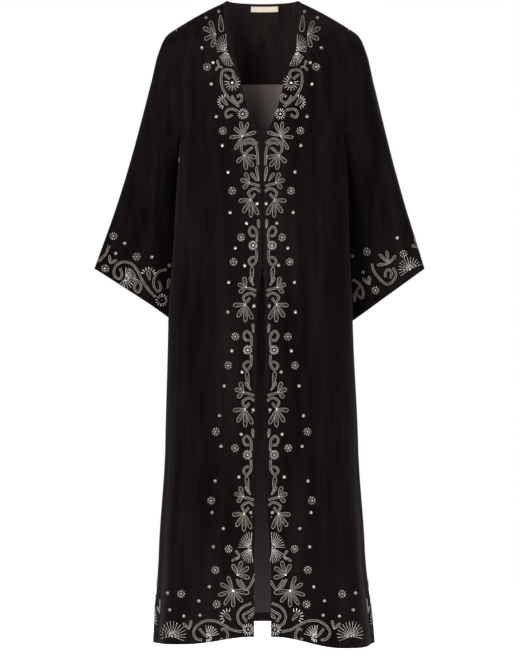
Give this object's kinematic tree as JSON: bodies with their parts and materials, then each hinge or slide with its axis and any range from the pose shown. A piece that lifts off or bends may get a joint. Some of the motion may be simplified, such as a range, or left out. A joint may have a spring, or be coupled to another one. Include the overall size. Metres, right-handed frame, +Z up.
{
  "type": "long beaded velvet robe",
  "caption": "Long open-front velvet robe with wide bell sleeves and a beaded floral border on the front edges, hem and cuffs.",
  "frame": {"origin": "midway between the two shoulder seams, level with the neck points, where the wearer's shoulders hold the robe", "axes": "+Z up the garment, -Y out of the front, +X to the right of someone looking at the front"},
  "size_m": [0.7464, 0.2752, 1.4441],
  "materials": {
    "velvet": "black velvet pile",
    "band": "plain black binding",
    "facing": "black velvet facing",
    "lining": "smooth dark brown lining",
    "label": "blank woven cream label",
    "hooks": "dark coated wire"
  },
  "bodies": {
    "root": {"back": "velvet", "front_left": "velvet", "front_right": "velvet", "sleeve_left": "velvet", "sleeve_right": "velvet", "edge_band_left": "band", "edge_band_right": "band", "facing_back_neck": "facing", "facing_back_hem": "facing", "lining_back": "lining", "label": "label", "hook_upper": "hooks", "hook_lower": "hooks", "eye_upper": "hooks", "eye_lower": "hooks"}
  },
  "joints": []
}
